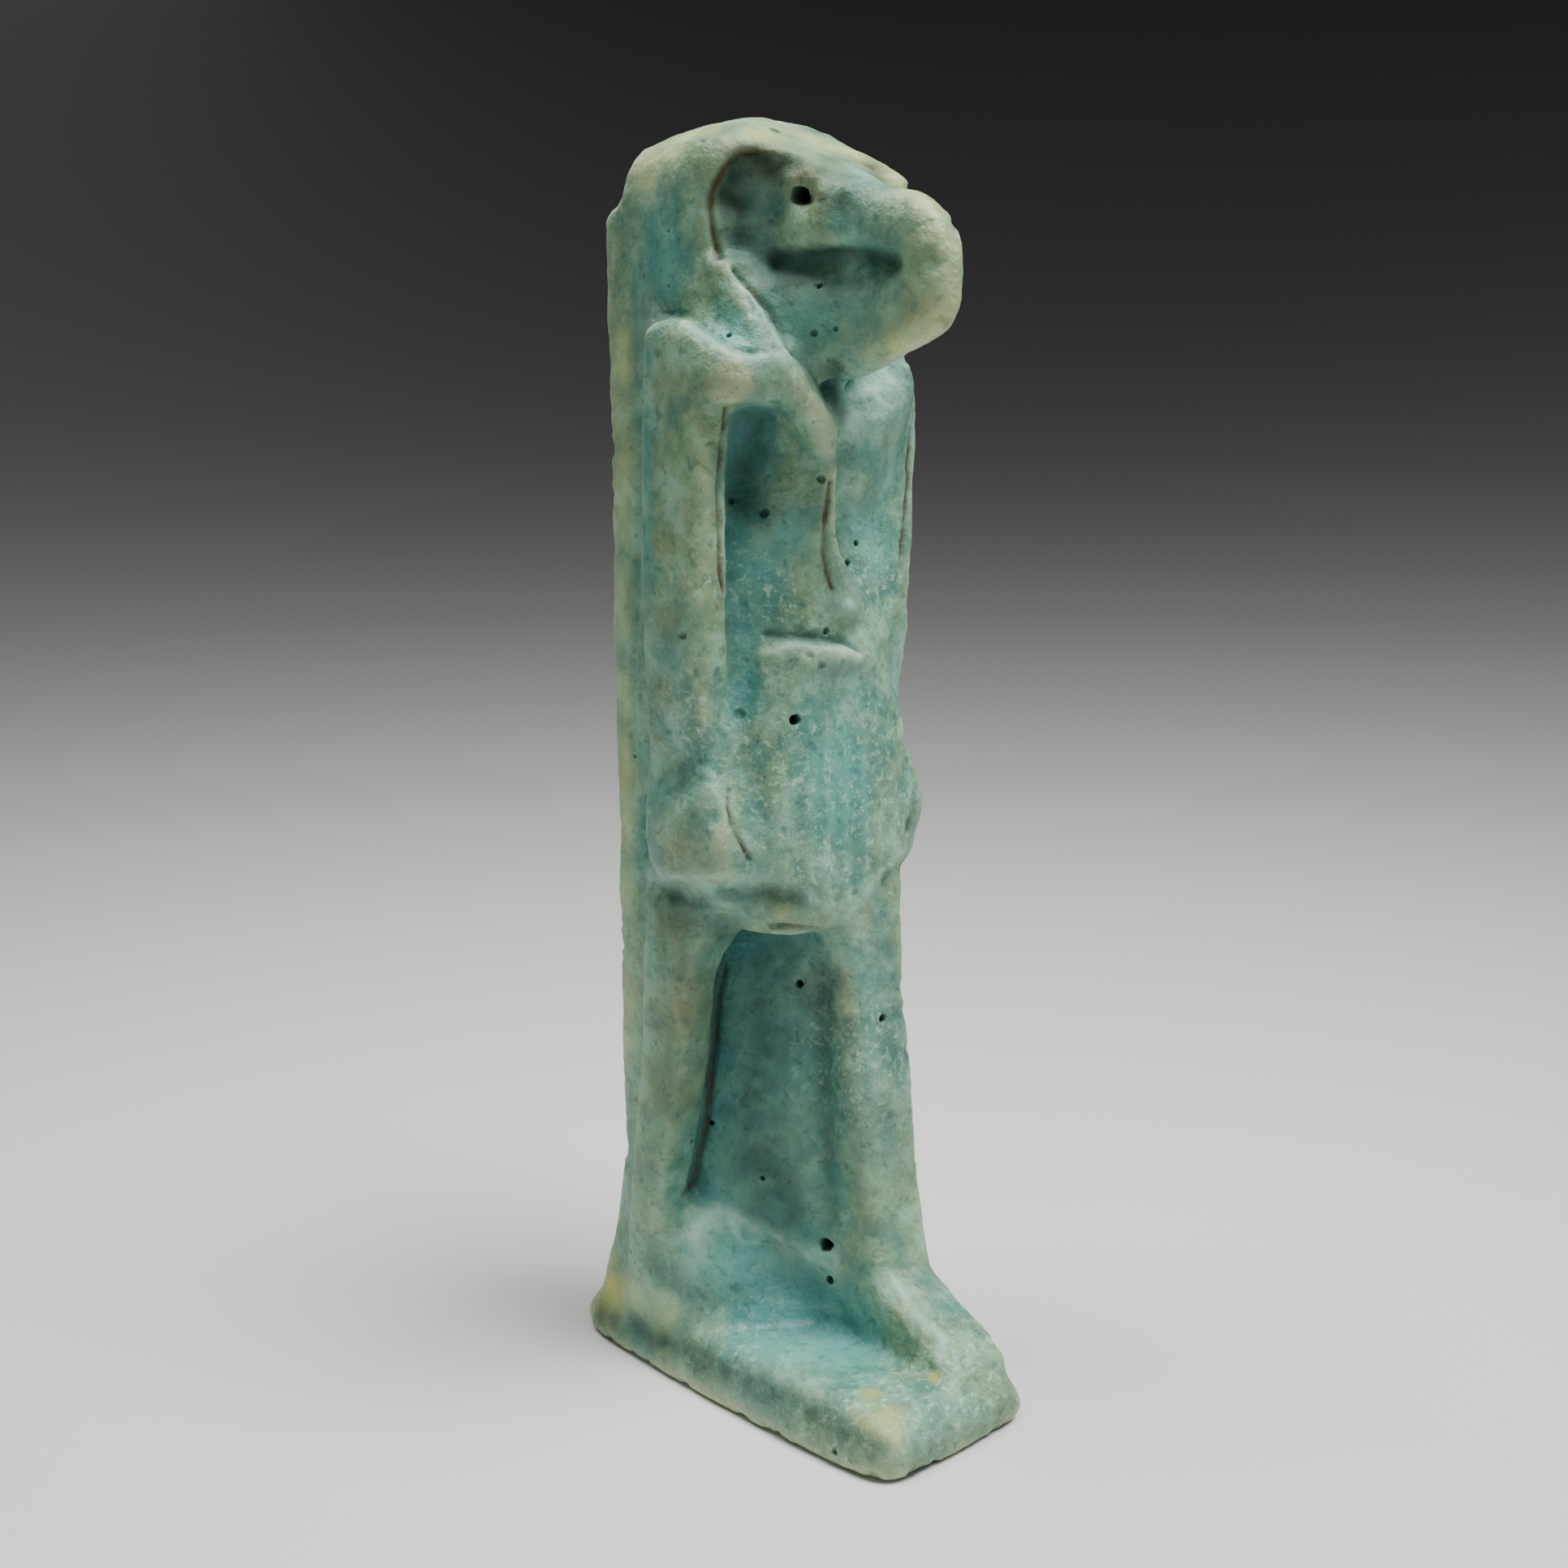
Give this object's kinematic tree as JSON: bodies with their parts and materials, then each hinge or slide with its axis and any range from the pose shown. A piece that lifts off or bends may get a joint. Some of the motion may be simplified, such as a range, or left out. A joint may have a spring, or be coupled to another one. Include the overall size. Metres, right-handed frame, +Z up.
{
  "type": "thoth amulet",
  "caption": "Small moulded faience amulet of a striding bird-headed figure in a long wig and short kilt, with a back pillar and a low plinth.",
  "frame": {"origin": "under the middle of the amulet's box, on the flat underside of the plinth", "axes": "+Z up from plinth to crown; the figure faces -Y and its right side is at -X"},
  "size_m": [0.0072, 0.0122, 0.0318],
  "materials": {
    "faience": "worn satin blue-green glaze"
  },
  "bodies": {
    "root": {"amulet": "faience"}
  },
  "joints": []
}
